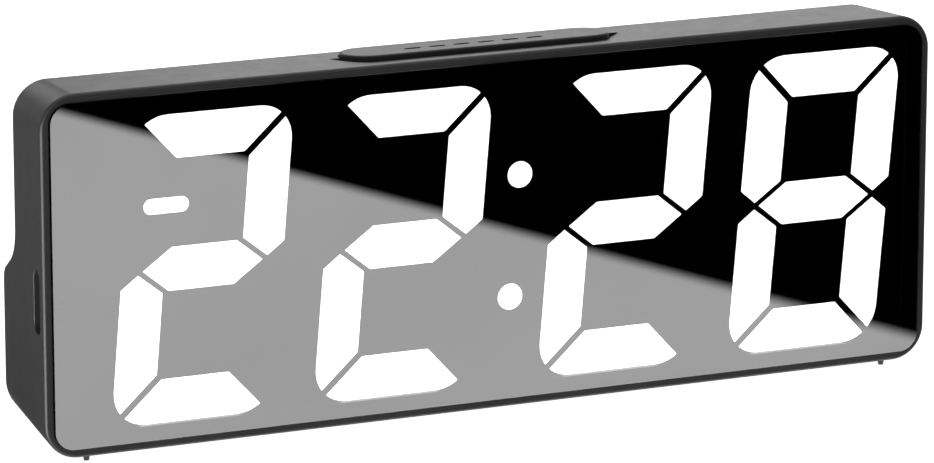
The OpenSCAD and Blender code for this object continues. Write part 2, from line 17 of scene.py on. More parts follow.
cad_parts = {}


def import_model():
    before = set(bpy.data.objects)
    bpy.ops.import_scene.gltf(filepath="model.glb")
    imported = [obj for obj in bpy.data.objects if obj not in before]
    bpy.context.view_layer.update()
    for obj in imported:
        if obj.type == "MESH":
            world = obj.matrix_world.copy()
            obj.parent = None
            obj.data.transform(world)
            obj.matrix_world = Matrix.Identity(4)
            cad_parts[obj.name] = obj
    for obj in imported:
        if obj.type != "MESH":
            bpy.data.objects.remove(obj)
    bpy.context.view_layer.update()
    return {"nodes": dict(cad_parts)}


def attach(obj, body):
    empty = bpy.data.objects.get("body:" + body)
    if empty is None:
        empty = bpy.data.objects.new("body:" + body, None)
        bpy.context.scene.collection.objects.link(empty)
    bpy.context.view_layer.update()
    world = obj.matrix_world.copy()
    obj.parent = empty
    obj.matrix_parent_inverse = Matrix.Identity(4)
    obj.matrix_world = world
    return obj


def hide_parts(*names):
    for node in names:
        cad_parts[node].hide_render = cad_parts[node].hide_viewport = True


LOG = logging.getLogger("alarm_clock")

MM = 0.001
HALF_DEPTH = 12.75
MID_Z = 31.0
MERGE_DISTANCE = 1e-7
NOISE_LOW, NOISE_HIGH = 0.3, 0.7
# A normal this far along -y counts as facing the front
FACING = 0.95
# Keeps a full round just short of meeting itself
HAIR = 0.01
WHITE = (1.0, 1.0, 1.0, 1.0)

Point = tuple[float, float]
Stop = tuple[float, float, float, float]


class Body(Enum):
    """The moving bodies of the clock."""

    CASE = "case"
    SNOOZE = "snooze"
    KEY_1 = "key_1"
    KEY_2 = "key_2"
    KEY_3 = "key_3"
    KEY_4 = "key_4"
    DOOR = "door"


def at(x: float, y: float, z: float) -> Vector:
    """Turns millimetres behind the lens face into a point of the frame.

    Args:
        x: Sideways place.
        y: Depth behind the lens face.
        z: Height above the table.

    Returns:
        The point in metres.
    """
    return Vector((x * MM, (y - HALF_DEPTH) * MM, z * MM))


# ---- Finishes ----


class Nodes:
    """A short way to lay out the shader nodes of one material."""

    def __init__(self, name: str) -> None:
        """Starts a material with an output and one Principled shader.

        Args:
            name: The material's name.
        """
        self.material = bpy.data.materials.new(name)
        self.material.use_nodes = True
        self.tree = self.material.node_tree
        self.shader = next(n for n in self.tree.nodes if n.type == "BSDF_PRINCIPLED")
        self.coords = self.tree.nodes.new("ShaderNodeTexCoord")

    def link(self, out: bpy.types.NodeSocket, into: bpy.types.NodeSocket) -> None:
        """Joins one socket to another.

        Args:
            out: The socket that gives the value.
            into: The socket that takes it.
        """
        self.tree.links.new(out, into)

    def noise(
        self, scale: float, detail: float = 4.0, stretch: Sequence[float] = (1, 1, 1)
    ) -> bpy.types.NodeSocket:
        """Adds a noise pattern on Object coordinates.

        Args:
            scale: Pattern repeats per metre.
            detail: Levels of finer noise.
            stretch: Scale along each axis.

        Returns:
            The noise value.
        """
        mapping = self.tree.nodes.new("ShaderNodeMapping")
        mapping.inputs["Scale"].default_value = tuple(stretch)
        self.link(self.coords.outputs["Object"], mapping.inputs["Vector"])
        noise = self.tree.nodes.new("ShaderNodeTexNoise")
        noise.inputs["Scale"].default_value = scale
        noise.inputs["Detail"].default_value = detail
        self.link(mapping.outputs["Vector"], noise.inputs["Vector"])
        return noise.outputs["Fac"]

    def spread(self, value: bpy.types.NodeSocket, low: float, high: float) -> bpy.types.NodeSocket:
        """Maps the middle of a noise to a range.

        Args:
            value: The noise value.
            low: Result at the noise's low end.
            high: Result at its high end.

        Returns:
            The mapped value.
        """
        node = self.tree.nodes.new("ShaderNodeMapRange")
        ends = {"From Min": NOISE_LOW, "From Max": NOISE_HIGH, "To Min": low, "To Max": high}
        for key, number in ends.items():
            node.inputs[key].default_value = number
        self.link(value, node.inputs["Value"])
        return node.outputs["Result"]

    def tint(self, value: bpy.types.NodeSocket, dark: Sequence[float], light: Sequence[float]) -> None:
        """Colours the shader between two tones.

        Args:
            value: What picks the tone.
            dark: Colour at the low end.
            light: Colour at the high end.
        """
        ramp = self.tree.nodes.new("ShaderNodeValToRGB")
        first, last = ramp.color_ramp.elements[0], ramp.color_ramp.elements[1]
        first.position, last.position = NOISE_LOW, NOISE_HIGH
        first.color, last.color = (*dark, 1), (*light, 1)
        self.link(value, ramp.inputs["Fac"])
        self.link(ramp.outputs["Color"], self.shader.inputs["Base Color"])

    def bump(self, value: bpy.types.NodeSocket, strength: float, distance_mm: float) -> None:
        """Raises the surface by a pattern.

        Args:
            value: The height pattern.
            strength: Share of the height used.
            distance_mm: Full height.
        """
        node = self.tree.nodes.new("ShaderNodeBump")
        node.inputs["Strength"].default_value = strength
        node.inputs["Distance"].default_value = distance_mm * MM
        self.link(value, node.inputs["Height"])
        self.link(node.outputs["Normal"], self.shader.inputs["Normal"])


@dataclass(frozen=True)
class GrainedFinish:
    """A moulded, plated or printed surface: two close tones, uneven gloss and a fine grain."""

    name: str
    dark: tuple[float, float, float]
    light: tuple[float, float, float]
    rough: tuple[float, float] = (0.4, 0.5)
    metallic: float = 0.0
    grain: float = 3500.0
    grain_mm: float = 0.02
    grain_strength: float = 0.25
    stretch: tuple[float, float, float] = (1.0, 1.0, 1.0)
    specular: float = 0.5
    wear: float = 0.04
    tone_scale: float = 60.0
    blotch_scale: float = 180.0
    wear_scale: float = 900.0

    def make(self) -> bpy.types.Material:
        """Builds the material.

        Returns:
            The new material.
        """
        n = Nodes(self.name)
        n.shader.inputs["Metallic"].default_value = self.metallic
        n.shader.inputs["Specular IOR Level"].default_value = self.specular
        n.tint(n.noise(self.tone_scale, 5), self.dark, self.light)
        blotch = n.spread(n.noise(self.blotch_scale, 6), self.rough[0], self.rough[1])
        worn = n.spread(n.noise(self.wear_scale, 2), -self.wear, self.wear)
        add = n.tree.nodes.new("ShaderNodeMath")
        add.operation = "ADD"
        n.link(blotch, add.inputs[0])
        n.link(worn, add.inputs[1])
        n.link(add.outputs[0], n.shader.inputs["Roughness"])
        n.bump(n.noise(self.grain, 3, self.stretch), self.grain_strength, self.grain_mm)
        return n.material


@dataclass(frozen=True)
class MirrorFinish:
    """Half-mirrored acrylic: a dim metallic face, part see-through, so that lit segments show."""

    name: str = "half_mirror"
    tone: float = 0.2795
    alpha: float = 0.75
    rough: tuple[float, float] = (0.0, 0.008)
    metallic: float = 1.0
    mottle: float = 0.01
    ripple: tuple[float, float] = (0.004, 0.002)

    def make(self) -> bpy.types.Material:
        """Builds the material.

        Returns:
            The new material.
        """
        n = Nodes(self.name)
        n.shader.inputs["Metallic"].default_value = self.metallic
        n.shader.inputs["Alpha"].default_value = self.alpha
        n.tint(n.noise(25, 2), (self.tone - self.mottle,) * 3, (self.tone + self.mottle,) * 3)
        n.link(n.spread(n.noise(140, 5), *self.rough), n.shader.inputs["Roughness"])
        n.bump(n.noise(8, 0), *self.ripple)
        return n.material


@dataclass(frozen=True)
class LitFinish:
    """Milky diffuser lit from behind."""

    name: str = "lit_segment"
    strength: float = 7.0

    def make(self) -> bpy.types.Material:
        """Builds the material.

        Returns:
            The new material.
        """
        n = Nodes(self.name)
        n.tint(n.noise(90, 3), (0.86, 0.86, 0.85), (0.93, 0.93, 0.92))
        n.link(n.spread(n.noise(400, 4), 0.45, 0.6), n.shader.inputs["Roughness"])
        n.shader.inputs["Emission Color"].default_value = WHITE
        n.shader.inputs["Emission Strength"].default_value = self.strength
        n.bump(n.noise(1500, 2), 0.1, 0.01)
        return n.material


def grey(value: float) -> tuple[float, float, float]:
    """Makes a very slightly cool neutral colour.

    Args:
        value: Its linear value.

    Returns:
        Red, green and blue.
    """
    return (value, value, value * 1.03)


class Finish(Enum):
    """Every finish on the clock."""

    SHELL = GrainedFinish(
        "satin_shell", grey(0.027), grey(0.03), (0.38, 0.42), grain_strength=0.08, wear=0.015
    )
    RIM = GrainedFinish("matt_rim", grey(0.021), grey(0.024), (0.5, 0.56), specular=0.12, wear=0.015)
    KEY = GrainedFinish(
        "satin_key", grey(0.027), grey(0.031), (0.39, 0.43), grain_strength=0.08, specular=0.43, wear=0.015
    )
    LENS = MirrorFinish()
    LENS_CLEAR = MirrorFinish("clear_acrylic", 0.05, 0.03, (0.05, 0.1), 0.0)
    LIT = LitFinish()
    # Matt black for truly black parts; on the shell it is also painted shade in the recess behind the lens.
    BLACK = GrainedFinish("matt_black", grey(0.0003), grey(0.0006), (0.75, 0.85), specular=0.02)
    TAPE = GrainedFinish("foam_tape", grey(0.0006), grey(0.001), (0.85, 0.95), grain_mm=0.05, specular=0.02)
    RUBBER = GrainedFinish("foot_rubber", grey(0.012), grey(0.02), (0.7, 0.85), grain_mm=0.05)
    BOARD = GrainedFinish("green_lacquer", (0.008, 0.06, 0.02), (0.012, 0.1, 0.03), (0.25, 0.35), grain=900)
    EPOXY = GrainedFinish("moulded_epoxy", grey(0.01), grey(0.016), (0.55, 0.7), grain_mm=0.03)
    DARK_STEEL = GrainedFinish("black_oxide", grey(0.02), grey(0.03), (0.4, 0.5), metallic=1.0)
    STEEL = GrainedFinish(
        "nickel_plate", grey(0.5), grey(0.62), (0.22, 0.34), metallic=1.0, stretch=(1, 6, 1)
    )
    PHOSPHOR = GrainedFinish("led_phosphor", (0.75, 0.6, 0.2), (0.85, 0.72, 0.3), (0.3, 0.4))
    SLEEVE = GrainedFinish("capacitor_sleeve", (0.01, 0.015, 0.05), (0.015, 0.02, 0.08), (0.3, 0.4))
    NYLON = GrainedFinish("plunger_nylon", (0.5, 0.5, 0.45), (0.6, 0.6, 0.54), (0.45, 0.55))
    CELL = GrainedFinish("cell_sleeve", (0.02, 0.05, 0.16), (0.03, 0.07, 0.22), (0.2, 0.3))
    WIRE = GrainedFinish("wire_sleeve", (0.3, 0.01, 0.01), (0.4, 0.015, 0.015), (0.4, 0.5))


class Wardrobe:
    """Makes each finish's material once."""

    def __init__(self) -> None:
        """Starts with no material made."""
        self.made: dict[Finish, bpy.types.Material] = {}

    def dress(self, piece: bpy.types.Object, finish: Finish) -> None:
        """Gives a piece one finish all over.

        Args:
            piece: The piece.
            finish: Its finish.
        """
        piece.data.materials.clear()
        self.add(piece, finish)

    def add(self, piece: bpy.types.Object, finish: Finish) -> None:
        """Adds one more finish to a piece.

        Args:
            piece: The piece.
            finish: The finish.
        """
        if finish not in self.made:
            self.made[finish] = finish.value.make()
        piece.data.materials.append(self.made[finish])


# ---- Mesh helpers ----


def new_object(bm: bmesh.types.BMesh, name: str) -> bpy.types.Object:
    """Turns a bmesh into a smooth-shaded object at the origin.

    Args:
        bm: The mesh, in frame metres; it is freed.
        name: The object's name.

    Returns:
        The linked object.
    """
    mesh = bpy.data.meshes.new(name)
    bm.to_mesh(mesh)
    bm.free()
    piece = bpy.data.objects.new(name, mesh)
    bpy.context.scene.collection.objects.link(piece)
    return piece


def closed(bm: bmesh.types.BMesh) -> bmesh.types.BMesh:
    """Merges doubles and points every face outwards.

    Args:
        bm: The solid.

    Returns:
        The same bmesh.
    """
    bmesh.ops.remove_doubles(bm, verts=bm.verts[:], dist=MERGE_DISTANCE)
    bmesh.ops.recalc_face_normals(bm, faces=bm.faces[:])
    return bm


def shade(piece: bpy.types.Object, angle: float = 32.0) -> None:
    """Smooths a mesh, with edges sharper than the angle kept crisp.

    Args:
        piece: The piece.
        angle: The sharpest angle that is smoothed, in degrees.
    """
    bm = bmesh.new()
    bm.from_mesh(piece.data)
    for face in bm.faces:
        face.smooth = True
    for edge in bm.edges:
        edge.smooth = not (len(edge.link_faces) == 2 and edge.calc_face_angle(0.0) > math.radians(angle))
    bm.to_mesh(piece.data)
    bm.free()
    weighted = piece.modifiers.new("even_normals", "WEIGHTED_NORMAL")
    weighted.keep_sharp = True


def slab(outline: Sequence[Point], y0: float, y1: float) -> bmesh.types.BMesh:
    """A flat outline in x and z given a thickness in y.

    Args:
        outline: Its corners in order.
        y0: Front depth.
        y1: Rear depth.

    Returns:
        The closed solid.
    """
    bm = bmesh.new()
    face = bm.faces.new([bm.verts.new(at(x, y0, z)) for x, z in outline])
    out = bmesh.ops.extrude_face_region(bm, geom=[face])
    moved = [g for g in out["geom"] if isinstance(g, bmesh.types.BMVert)]
    bmesh.ops.translate(bm, verts=moved, vec=Vector((0, (y1 - y0) * MM, 0)))
    bm.normal_update()
    return closed(bm)


def rise(outline: Sequence[Point], z0: float, z1: float) -> bmesh.types.BMesh:
    """A flat outline in x and y given a height.

    Args:
        outline: Its corners in order.
        z0: Bottom.
        z1: Top.

    Returns:
        The closed solid.
    """
    bm = bmesh.new()
    face = bm.faces.new([bm.verts.new(at(x, y, z0)) for x, y in outline])
    out = bmesh.ops.extrude_face_region(bm, geom=[face])
    moved = [g for g in out["geom"] if isinstance(g, bmesh.types.BMVert)]
    bmesh.ops.translate(bm, verts=moved, vec=Vector((0, 0, (z1 - z0) * MM)))
    return closed(bm)


def rounded(w: float, h: float, r: float, cx: float = 0.0, cz: float = 0.0, steps: int = 10) -> list[Point]:
    """Corners of a rounded rectangle, turning from the right side.

    Args:
        w: Width.
        h: Height.
        r: Corner radius.
        cx: Centre across.
        cz: Centre up.
        steps: Parts in each corner.

    Returns:
        The points in order.
    """
    points = []
    for quarter, (sx, sz) in enumerate(((1, 1), (-1, 1), (-1, -1), (1, -1))):
        for i in range(steps + 1):
            a = math.radians(90 * quarter + 90 * i / steps)
            x = cx + sx * (w / 2 - r) + r * math.cos(a)
            z = cz + sz * (h / 2 - r) + r * math.sin(a)
            points.append((x, z))
    return points


def rod(start: Vector, end: Vector, r: float, segments: int = 32) -> bmesh.types.BMesh:
    """A round rod between two points of the frame.

    Args:
        start: One end.
        end: The other.
        r: Radius in millimetres.
        segments: Sides.

    Returns:
        The closed solid.
    """
    bm = bmesh.new()
    bmesh.ops.create_cone(
        bm, cap_ends=True, segments=segments, radius1=r * MM, radius2=r * MM, depth=(end - start).length
    )
    turn = (end - start).to_track_quat("Z", "Y").to_matrix().to_4x4()
    bmesh.ops.transform(bm, matrix=Matrix.Translation((start + end) / 2) @ turn, verts=bm.verts[:])
    return bm


def block(x: Point, y: Point, z: Point) -> bmesh.types.BMesh:
    """A plain box between two values on each axis.

    Args:
        x: Left and right.
        y: Front and rear depth.
        z: Bottom and top.

    Returns:
        The closed solid.
    """
    return slab([(x[0], z[0]), (x[1], z[0]), (x[1], z[1]), (x[0], z[1])], y[0], y[1])


def soften(bm: bmesh.types.BMesh, width: float, segments: int = 3, angle: float = 40.0) -> bmesh.types.BMesh:
    """Rounds every edge sharper than an angle.

    Args:
        bm: The solid.
        width: Size of the round in millimetres.
        segments: Steps in it.
        angle: Edges flatter than this are left, in degrees.

    Returns:
        The same bmesh.
    """
    edges = [e for e in bm.edges if len(e.link_faces) == 2 and e.calc_face_angle(0.0) > math.radians(angle)]
    bmesh.ops.bevel(
        bm,
        geom=edges,
        offset=width * MM,
        segments=segments,
        profile=0.5,
        affect="EDGES",
        material=-1,
        clamp_overlap=True,
    )
    return bm


def carve(piece: bpy.types.Object, tools: Iterable[bmesh.types.BMesh], operation: str) -> None:
    """Joins solids to a piece, or cuts them out of it.

    Args:
        piece: The piece; its mesh is replaced by the result.
        tools: The solids, freed here.
        operation: UNION or DIFFERENCE.
    """
    for count, tool in enumerate(tools):
        cutter = new_object(tool, f"tool_{count}")
        modifier = piece.modifiers.new("carve", "BOOLEAN")
        modifier.operation, modifier.solver, modifier.object = operation, "EXACT", cutter
        result = bpy.data.meshes.new_from_object(piece.evaluated_get(bpy.context.evaluated_depsgraph_get()))
        piece.modifiers.clear()
        spare, piece.data = piece.data, result
        bpy.data.meshes.remove(spare)
        bpy.data.objects.remove(cutter, do_unlink=True)


@dataclass
class Assembly:
    """What every sub-assembly shares: finishes and the way a piece joins the clock."""

    wardrobe: Wardrobe

    def install(
        self, piece: bpy.types.Object, body: Body, finish: Finish, slot: str, nodes: Sequence[str]
    ) -> bpy.types.Object:
        """Dresses a finished piece and lets it stand for its CAD nodes.

        Args:
            piece: The piece.
            body: The body it moves with.
            finish: Its finish.
            slot: Not used.
            nodes: The CAD nodes it stands for.

        Returns:
            The same piece.
        """
        self.wardrobe.dress(piece, finish)
        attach(piece, body.value)
        if nodes:
            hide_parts(*nodes)
        LOG.info("%s: %d faces", piece.name, len(piece.data.polygons))
        return piece


# ---- The shell ----


@dataclass
class Shell(Assembly):
    """The tapered tub, with its rim, ledge, stepped back, scoop and openings."""

    width: float = 160.0
    height: float = 60.3
    corner: float = 5.8
    opening_corner: float = 3.5
    rim_y: float = 0.5
    rim_fillet: float = 0.62
    rim_width: float = 1.5
    ledge: tuple[float, float] = (1.7, 3.1)
    ledge_inset: float = 3.6
    wall: float = 1.6
    upper: float = 17.8
    lower: float = 25.5
    side_draft: float = 0.075
    top_draft: float = 0.054
    bottom_draft: float = 0.06
    step_z: float = 31.8
    step_angle: float = 31.5
    hollow: float = 7.0
    round_over: float = 2.5
    edge_rounds: tuple[float, float, float] = (1.0, 1.2, 1.8)
    corner_steps: int = 12
    side_steps: int = 56
    bar_y: float = 10.4
    bar_hole: tuple[float, float, float] = (48.5, 10.1, 5.04)
    rim_break: float = 0.1
    round_steps: int = 6
    settle_passes: int = 12
    tightest_corner: float = 1.5
    tightest_round: float = 0.6
    tightest_edge: float = 0.3
    tray_half: float = 47.8
    tray_front: float = 11.0
    tray_top: float = 27.8
    boss_x: Point = (-34.35, 41.35)
    boss_lean: float = 0.0855
    boss_rise: float = 23.0
    boss_y: Point = (7.5, 11.6)
    boss_r: float = 3.0
    pilot_y: Point = (6.5, 11.3)
    pilot_r: float = 1.15
    door_hole: tuple[float, ...] = (94.4, 19.4, 1.2, 0.0, 15.9)
    cell_room: tuple[Point, float, Point] = ((-46.6, 46.6), 12.2, (4.9, 26.6))
    lead_x: Point = (46.0, 48.4)
    lead_y: Point = (13.9, 15.1)
    lead_rows: Point = (10.4, 21.1)
    lead_half: float = 1.3
    key_hole: tuple[float, float, float] = (9.4, 5.4, 1.2)
    key_pitch: float = 16.0
    key_z: float = 45.0
    sound_at: Point = (-56.0, 46.0)
    sound_ring: float = 3.0
    sound_r: float = 0.8
    cut_in: float = 3.0
    cut_out: float = 1.0
    inlet_at: Point = (4.3, 26.5)
    inlet_size: Point = (3.3, 10.8)
    inlet_flare: float = 0.2
    inlet_reach: float = 8.5

    def top(self, y: float) -> float:
        """Height of the top at a depth.

        Args:
            y: The depth.

        Returns:
            The height.
        """
        return MID_Z + self.height / 2 - self.top_draft * (y - self.rim_y)

    def bottom(self, y: float) -> float:
        """Height of the underside at a depth.

        Args:
            y: The depth.

        Returns:
            The height.
        """
        return MID_Z - self.height / 2 + self.bottom_draft * (y - self.rim_y)

    def back(self, z: float, inset: float) -> float:
        """Depth of the stepped back at a height.

        Args:
            z: The height.
            inset: How far inside the outer face.

        Returns:
            The depth.
        """
        a = math.radians(self.step_angle)
        up, low = self.upper - inset, self.lower - inset
        shelf_z = self.step_z - inset * math.cos(a)
        shelf_y = self.upper - inset * math.sin(a)
        z_up = shelf_z + (shelf_y - up) * math.tan(a)
        z_low = shelf_z - (low - shelf_y) * math.tan(a)
        half = math.tan(math.radians(90 - self.step_angle) / 2)
        r_hollow, r_round = self.hollow + inset, max(self.round_over - inset, self.tightest_round)
        top_of_hollow, low_of_round = z_up + r_hollow * half, z_low - r_round * half
        if z >= top_of_hollow:
            return up
        if z <= low_of_round:
            return low
        turn = math.radians(90 - self.step_angle)
        if z > top_of_hollow - r_hollow * math.sin(turn):
            return up + r_hollow - math.sqrt(r_hollow**2 - (top_of_hollow - z) ** 2)
        if z < low_of_round + r_round * math.sin(turn):
            return low - r_round + math.sqrt(r_round**2 - (z - low_of_round) ** 2)
        return shelf_y + (shelf_z - z) / math.tan(a)

    def ring(self) -> list[Stop]:
        """Stations round the outline: side signs, turn of the corner, and place along a side.

        Returns:
            (sign across, sign up, corner angle in degrees or -1, share up the side).
        """
        stops: list[Stop] = []
        for i in range(self.side_steps + 1):
            stops.append((1, 0, -1, i / self.side_steps))
        for i in range(1, self.corner_steps + 1):
            stops.append((1, 1, 90 * i / self.corner_steps, 0))
        for i in range(self.corner_steps, 0, -1):
            stops.append((-1, 1, 90 * i / self.corner_steps, 0))
        for i in range(self.side_steps, -1, -1):
            stops.append((-1, 0, -1, i / self.side_steps))
        for i in range(1, self.corner_steps + 1):
            stops.append((-1, -1, 90 * i / self.corner_steps, 0))
        for i in range(self.corner_steps, 0, -1):
            stops.append((1, -1, 90 * i / self.corner_steps, 0))
        return stops

    def spot(self, stop: Stop, y: float, inset: float) -> Point:
        """Where one station of the outline lies at a depth.

        Args:
            stop: The station.
            y: The depth.
            inset: How far inside the outer face.

        Returns:
            Across and up.
        """
        sign, up, angle, share = stop
        half = self.width / 2 - self.side_draft * (y - self.rim_y) - inset
        z1, z0 = self.top(y) - inset, self.bottom(y) + inset
        r = max(self.corner - inset, self.tightest_corner)
        if inset > self.rim_fillet and y < self.ledge[0] + HAIR:
            r = max(self.opening_corner + self.rim_width - inset, self.tightest_corner)
        if up == 0:
            return sign * half, z0 + r + (z1 - z0 - 2 * r) * share
        a = math.radians(angle)
        x = half - r + r * math.cos(a)
        z = z1 - r + r * math.sin(a) if up > 0 else z0 + r - r * math.sin(a)
        return sign * x, z

    def edge_round(self, stop: Stop, inset: float) -> float:
        """Radius where the walls turn into the back, at one station.

        Args:
            stop: The station.
            inset: How far inside the outer face.

        Returns:
            The radius.
        """
        side, over, under = self.edge_rounds
        share = 0.0 if stop[1] == 0 else math.sin(math.radians(stop[2]))
        target = over if stop[1] >= 0 else under
        return max(side + (target - side) * share - inset, self.tightest_edge)

    def skin(self) -> bmesh.types.BMesh:
        """The whole shell as one closed skin, from the inner back round the rim to the outer back.

        Returns:
            The closed solid.
        """
        stops = self.ring()
        steps = self.round_steps
        stations: list[tuple[str, float, float]] = []
        for i in range(steps + 1):
            stations.append(("inner_round", 1 - i / steps, self.wall))
        stations += [("inner_wall", t, self.wall) for t in (0.66, 0.33)]
        stations += [
            ("flat", self.ledge[1], self.wall),
            ("flat", self.ledge[1], self.ledge_inset),
            ("flat", self.ledge[0], self.ledge_inset),
            ("flat", self.ledge[0], self.rim_width),
            ("flat", self.rim_y + self.rim_break, self.rim_width),
            ("flat", self.rim_y, self.rim_width - self.rim_break),
        ]
        for i in range(steps, -1, -1):
            a = math.radians(90 * i / steps)
            depth = self.rim_y + self.rim_fillet * (1 - math.sin(a))
            stations.append(("flat", depth, self.rim_fillet * (1 - math.cos(a))))
        stations += [("outer_wall", t, 0.0) for t in (0.25, 0.5, 0.75)]
        for i in range(steps + 1):
            stations.append(("outer_round", i / steps, 0.0))
        bm = bmesh.new()
        bmesh.ops.create_grid(bm, x_segments=len(stops), y_segments=len(stations) - 1, size=1)
        for v in bm.verts:
            i = round((v.co.x + 1) / 2 * len(stops)) % len(stops)
            j = round((v.co.y + 1) / 2 * (len(stations) - 1))
            v.co = self.skin_point(stops[i], *stations[j])
        bmesh.ops.remove_doubles(bm, verts=bm.verts[:], dist=MERGE_DISTANCE)
        self.close_back(bm)
        return closed(bm)

    def skin_point(self, stop: Stop, kind: str, t: float, inset: float) -> Vector:
        """One point of the skin.

        Args:
            stop: The station round the outline.
            kind: Which stretch of the skin it is on.
            t: The depth on a flat stretch, or the share along the others.
            inset: How far inside the outer face.

        Returns:
            The point in the frame.
        """
        if kind == "flat":
            x, z = self.spot(stop, t, inset)
            return at(x, t, z)
        r = self.edge_round(stop, inset)
        start = self.ledge[1] if kind.startswith("inner") else self.rim_y + self.rim_fillet
        y, extra = self.upper, 0.0
        for _ in range(self.settle_passes):
            x, z = self.spot(stop, y, inset + extra)
            limit = self.back(z, inset)
            if kind.endswith("wall"):
                y = start + (limit - r - start) * t
            else:
                a = math.radians(90 * t)
                extra = r * (1 - math.cos(a))
                y = limit - r * (1 - math.sin(a))
        x, z = self.spot(stop, y, inset + extra)
        return at(x, y, z)

    def close_back(self, bm: bmesh.types.BMesh) -> None:
        """Spans the two open rings at the back with level strips.

        Args:
            bm: The skin, open at its two ends.
        """
        open_edges = [e for e in bm.edges if e.is_boundary]
        left = [e for e in open_edges if all(v.co.x < 0 for v in e.verts)]
        right = [e for e in open_edges if all(v.co.x > 0 for v in e.verts)]
        for chains in self.pair(left, right):
            bmesh.ops.bridge_loops(bm, edges=chains)

    @staticmethod
    def chains(edges: list[bmesh.types.BMEdge]) -> list[set[bmesh.types.BMEdge]]:
        """Groups the edges that hang together.

        Args:
            edges: The edges.

        Returns:
            The groups, the one that reaches least far back first.
        """
        rest, found = set(edges), []
        while rest:
            stack, group = [rest.pop()], set()
            while stack:
                edge = stack.pop()
                group.add(edge)
                for vert in edge.verts:
                    for other in vert.link_edges:
                        if other in rest:
                            rest.discard(other)
                            stack.append(other)
            found.append(group)
        return sorted(found, key=lambda g: max(v.co.y for e in g for v in e.verts))

    @classmethod
    def pair(
        cls, left: list[bmesh.types.BMEdge], right: list[bmesh.types.BMEdge]
    ) -> list[list[bmesh.types.BMEdge]]:
        """Sorts open edges into the inner and the outer ring.

        Args:
            left: Open edges on the left.
            right: Open edges on the right.

        Returns:
            The edges of each ring.
        """
        return [list(a) + list(b) for a, b in zip(cls.chains(left), cls.chains(right))]

    def bosses(self) -> list[tuple[float, float, int]]:
        """Where the four screw bosses stand.

        Returns:
            Across, up, and 1 for an upper one or -1 for a lower one.
        """
        return [
            (x + sign * self.boss_lean * self.boss_rise, MID_Z + sign * self.boss_rise, sign)
            for x in self.boss_x
            for sign in (-1, 1)
        ]

    def tray(self) -> list[bmesh.types.BMesh]:
        """The battery tray, its corners sunk in the walls, and the four screw bosses.

        Returns:
            The solids to join.
        """
        floor_z, split = 2.0, 20.0
        into_back, into_step, into_floor = 0.8, 0.6, 0.6
        into_heel_y, into_heel_z = 1.4, 0.9
        tray = block(
            (-self.tray_half, self.tray_half),
            (self.tray_front, self.lower - into_back),
            (floor_z, self.tray_top),
        )
        for v in tray.verts:
            x, y, z = v.co.x / MM, v.co.y / MM + HALF_DEPTH, v.co.z / MM
            if z > split and y > split:
                v.co = at(x, self.back(self.tray_top, 0.0) - into_step, self.tray_top)
            elif z < split and y < split:
                v.co = at(x, self.tray_front, self.bottom(self.tray_front) + into_floor)
            elif z < split:
                v.co = at(x, self.lower - into_heel_y, self.bottom(self.lower) + into_heel_z)
        solids = [tray]
        for x, z, sign in self.bosses():
            end = self.upper - into_back if sign > 0 else self.boss_y[1]
            solids.append(rod(at(x, self.boss_y[0], z), at(x, end, z), self.boss_r))
        return solids

    def scoop(self) -> bmesh.types.BMesh:
        """The hollow in front of the snooze bar, with a pointed tip at each end.

        Returns:
            The solid to cut away.
        """
        spans, rows = 48, 10
        reach, depth, taper = 26.1, 1.05, 6.4
        lead, sweep, curl = 2.2, 7.6, 2.2
        dip, fill = 1.35, 3
        clearance, headroom = 0.004, 3
        bm = bmesh.new()
        bmesh.ops.create_grid(bm, x_segments=spans, y_segments=rows, size=1)
        for v in bm.verts:
            s, t = v.co.x, (v.co.y + 1) / 2
            x = reach * math.sin(s * math.pi / 2)
            near_end = max(0.0, (abs(x) - (reach - taper)) / taper)
            front = lead + sweep * near_end**curl
            y = front + (self.bar_y - front) * t
            drop = depth * t**dip * (1 - near_end**fill)
            v.co = at(x, y, self.top(y) - drop + clearance)
        out = bmesh.ops.extrude_face_region(bm, geom=bm.faces[:])
        raised = [g for g in out["geom"] if isinstance(g, bmesh.types.BMVert)]
        for v in raised:
            v.co.z = (self.top(0) + headroom) * MM
        return closed(bm)

    def openings(self) -> list[bmesh.types.BMesh]:
        """Everything that is cut through the walls.

        Returns:
            The solids to cut away.
        """
        bar = [(x, y + self.bar_y) for x, y in rounded(*self.bar_hole)]
        inner_back = self.lower - self.wall
        room_x, room_y, room_z = self.cell_room
        cuts = [self.scoop(), rise(bar, 50.0, 66.0)]
        cuts += self.inlet()
        cuts.append(slab(rounded(*self.door_hole), inner_back - 0.05, 27.0))
        cuts.append(block(room_x, (room_y, inner_back), room_z))
        for z in self.lead_rows:
            cuts.append(block(self.lead_x, self.lead_y, (z - self.lead_half, z + self.lead_half)))
        ends = (self.upper - self.cut_in, self.upper + self.cut_out)
        for i in range(4):
            cuts.append(slab(rounded(*self.key_hole, self.key_pitch * (i - 1.5), self.key_z), *ends))
        holes = [self.sound_at]
        for i in range(6):
            a = i * math.pi / 3
            x, z = self.sound_at
            holes.append((x + self.sound_ring * math.cos(a), z + self.sound_ring * math.sin(a)))
        for x, z in holes:
            cuts.append(rod(at(x, ends[0], z), at(x, ends[1], z), self.sound_r))
        for x, z, _ in self.bosses():
            cuts.append(rod(at(x, self.pilot_y[0], z), at(x, self.pilot_y[1], z), self.pilot_r))
        return cuts

